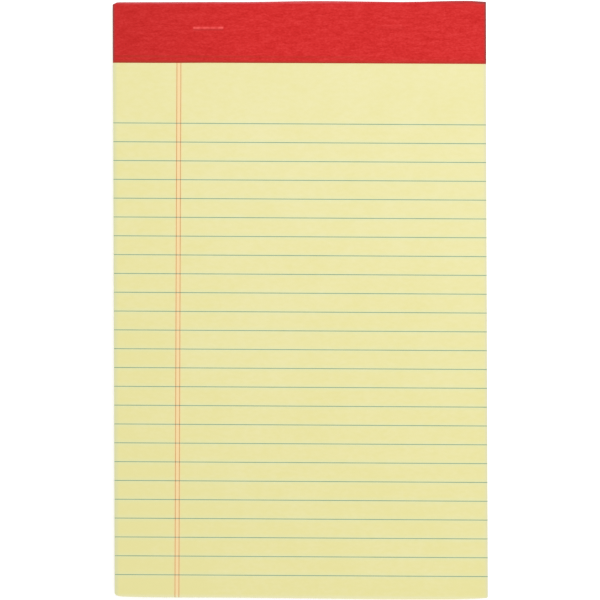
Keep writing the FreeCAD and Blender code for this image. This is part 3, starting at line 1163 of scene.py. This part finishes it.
# The grain's tone is the leatherette's own, and its paler crests are also a painted sheen on the
# emboss
tone = add(tree, "ShaderNodeMapRange", grain, *GRAIN_RANGE)
red = add(tree, "ShaderNodeValToRGB", tone)
red.color_ramp.elements[0].color = linear(TAPE_RED_DEEP)
red.color_ramp.elements[1].color = linear(TAPE_RED_PALE)
red.color_ramp.elements.new(0.5).color = linear(TAPE_RED)
patches = add(
    tree, "ShaderNodeTexNoise", {"Vector": place, "Scale": 1 / PATCH_SIZE, "Detail": 4.0}
)
patchy = add(tree, "ShaderNodeMapRange", patches, *FOLD_HIGHLIGHT_PATCHES)

# On the fold: a painted highlight along its top, patchy and stronger to the left, a painted shade
# where it turns down past its top, a painted shade growing to the right, and a painted shade at
# its right corner
band = [fold_y - inwards for inwards in FOLD_BAND]
near_fold = add(tree, "ShaderNodeMapRange", spot.outputs["Y"], *band)
below_top = add(tree, "ShaderNodeMath", tape_top, spot.outputs["Z"], operation="SUBTRACT")
on_top = add(tree, "ShaderNodeMapRange", below_top, *FOLD_TOP_DOWN)
to_left = add(tree, "ShaderNodeMapRange", spot.outputs["X"], *FOLD_HIGHLIGHT_ACROSS)
# Painted highlight along the fold's top, patchy and stronger to the left
fold_highlight = add(tree, "ShaderNodeMath", near_fold, on_top, operation="MULTIPLY")
fold_highlight = add(tree, "ShaderNodeMath", fold_highlight, to_left, operation="MULTIPLY")
fold_highlight = add(tree, "ShaderNodeMath", fold_highlight, patchy, operation="MULTIPLY")
# Painted shade where the fold turns down past its top
corner = add(tree, "ShaderNodeMapRange", below_top, *FOLD_TOP_DOWN[:2])
corner_end = add(tree, "ShaderNodeMapRange", below_top, *FOLD_SHADE_DOWN)
fold_shade = add(tree, "ShaderNodeMath", near_fold, corner, operation="MULTIPLY")
fold_shade = add(tree, "ShaderNodeMath", fold_shade, corner_end, operation="MULTIPLY")
from_fold = add(tree, "ShaderNodeMath", fold_y, spot.outputs["Y"], operation="SUBTRACT")
# Painted shade along the fold, growing towards the right
to_right = add(tree, "ShaderNodeMapRange", spot.outputs["X"], *RIGHT_FOLD_SHADE_ACROSS)
right_fold_shade = add(tree, "ShaderNodeMapRange", from_fold, *RIGHT_FOLD_SHADE_REACH, to_right, 0.0)
# Painted shade at the fold's right corner, down its wall
to_corner = add(tree, "ShaderNodeMapRange", spot.outputs["X"], *CORNER_SHADE_ACROSS)
corner_shade = add(tree, "ShaderNodeMapRange", from_fold, *CORNER_SHADE_REACH, to_corner, 0.0)
down_wall = add(tree, "ShaderNodeMapRange", below_top, *CORNER_SHADE_DOWN)
corner_shade = add(tree, "ShaderNodeMath", corner_shade, down_wall, operation="MULTIPLY")

# Elsewhere: a painted shade darkens the left end, the staples' ridges have a painted highlight,
# strongest on the left one, with a painted shadow below them, the cut sides are darker, and the
# free edge and the crease have a painted shade
# Painted shade over the left end
left_shade = add(tree, "ShaderNodeMapRange", spot.outputs["X"], *LEFT_SHADE_ACROSS)
off_middle = add(tree, "ShaderNodeMath", spot.outputs["X"], operation="ABSOLUTE")
along_wire = add(tree, "ShaderNodeMath", off_middle, STAPLE_SPACING / 2, operation="SUBTRACT")
along_wire = add(tree, "ShaderNodeMath", along_wire, operation="ABSOLUTE")
flat_end = STAPLE_LENGTH / 2 - SHOULDER
fade = (flat_end - SHOULDER_FADE[0], flat_end + SHOULDER_FADE[1])
on_flat = add(tree, "ShaderNodeMapRange", along_wire, *fade, 1.0, 0.0)
ridge = add(tree, "ShaderNodeAttribute", attribute_name="ridge").outputs["Fac"]
# Painted highlight on the staples' ridges, in dashes and strongest on the left one
dashes = add(tree, "ShaderNodeMapRange", patches, *RIDGE_HIGHLIGHT_PATCHES)
ridge_highlight_across = add(tree, "ShaderNodeMapRange", spot.outputs["X"], *RIDGE_HIGHLIGHT_ACROSS)
ridge_highlight = add(tree, "ShaderNodeMath", ridge, ridge_highlight_across, operation="MULTIPLY")
ridge_highlight = add(tree, "ShaderNodeMath", ridge_highlight, on_flat, operation="MULTIPLY")
ridge_highlight = add(tree, "ShaderNodeMath", ridge_highlight, dashes, operation="MULTIPLY")
# Painted shadow just below the staples' ridges, strongest below the left one
ridge_shadow_line = head_y - RIDGE_PLACE - RIDGE_SHADOW_PLACE
off_ridge_shadow = add(tree, "ShaderNodeMath", spot.outputs["Y"], ridge_shadow_line, operation="SUBTRACT")
off_ridge_shadow = add(tree, "ShaderNodeMath", off_ridge_shadow, operation="ABSOLUTE")
ridge_shadow_across = add(tree, "ShaderNodeMapRange", spot.outputs["X"], *RIDGE_SHADOW_ACROSS)
ridge_shadow = add(tree, "ShaderNodeMapRange", off_ridge_shadow, *RIDGE_SHADOW_REACH, ridge_shadow_across, 0.0)
ridge_shadow = add(tree, "ShaderNodeMath", ridge_shadow, on_flat, operation="MULTIPLY")
# The cut sides are darker
from_side = add(tree, "ShaderNodeMath", half_width, off_middle, operation="SUBTRACT")
cut_side = add(tree, "ShaderNodeMapRange", from_side, *SIDE_DARKER)
from_edge = add(
    tree,
    "ShaderNodeMath",
    spot.outputs["X"],
    math.tan(TAPE_SKEW),
    spot.outputs["Y"],
    operation="MULTIPLY_ADD",
)
from_edge = add(tree, "ShaderNodeMath", from_edge, tape_edge(0), operation="SUBTRACT")
# Painted shade along the free edge
edge_reach = add(tree, "ShaderNodeMapRange", spot.outputs["X"], *EDGE_SHADE_REACH_ACROSS)
edge_share = add(tree, "ShaderNodeMapRange", spot.outputs["X"], *EDGE_SHADE_ACROSS)
free_edge_shade = add(
    tree, "ShaderNodeMapRange", from_edge, EDGE_SHADE_FROM, edge_reach, edge_share, 0.0
)
# Painted shade along the crease, now stronger and now weaker
off_crease = add(tree, "ShaderNodeMath", from_edge, CREASE_PLACE, operation="SUBTRACT")
off_crease = add(tree, "ShaderNodeMath", off_crease, operation="ABSOLUTE")
broken = add(
    tree, "ShaderNodeTexNoise", {"Vector": place, "Scale": 1 / CREASE_BREAK, "Detail": 2.0}
)
broken = add(tree, "ShaderNodeMapRange", broken, *CREASE_BREAKS)
crease_share = add(tree, "ShaderNodeMapRange", spot.outputs["X"], *CREASE_SHADE_ACROSS)
crease_shade = add(tree, "ShaderNodeMapRange", off_crease, *CREASE_SHADE_REACH, crease_share, 0.0)
crease_shade = add(tree, "ShaderNodeMath", crease_shade, broken, operation="MULTIPLY")
tape_colour = red
for share, mixed_to in (
    (left_shade, TAPE_PAINTED_SHADE),
    (fold_highlight, TAPE_FOLD_HIGHLIGHT),
    (fold_shade, TAPE_PAINTED_SHADE),
    (right_fold_shade, TAPE_PAINTED_SHADE),
    (corner_shade, TAPE_DARK_GREY),
    (ridge_shadow, TAPE_PAINTED_SHADE),
    (ridge_highlight, TAPE_RIDGE_HIGHLIGHT),
    (cut_side, TAPE_DARK_GREY),
    (free_edge_shade, TAPE_SHADE_BROWN),
    (crease_shade, TAPE_SHADE_BROWN),
):
    tape_colour = add(
        tree, "ShaderNodeMix", share, tape_colour, linear(mixed_to), data_type="RGBA"
    )
sheen = add(tree, "ShaderNodeMapRange", grain, *GRAIN_RANGE, *GRAIN_SHEEN)
embossed = add(
    tree, "ShaderNodeBump", {"Strength": 0.8, "Distance": GRAIN_DEPTH, "Height": grain}
)
tree.links.new(tape_colour.outputs["Result"], shader.inputs["Base Color"])
tree.links.new(sheen.outputs["Result"], shader.inputs["Roughness"])
tree.links.new(embossed.outputs["Normal"], shader.inputs["Normal"])
shader.inputs["Specular IOR Level"].default_value = 0.15

tape = put("leatherette_tape", tape_mesh)
apply_tree(tape, laid, material=leatherette)
tape.data.shade_smooth()
tape.data.set_sharp_from_angle(angle=FOLD_SHARPNESS)
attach(tape, "root")
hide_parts("header_tape")
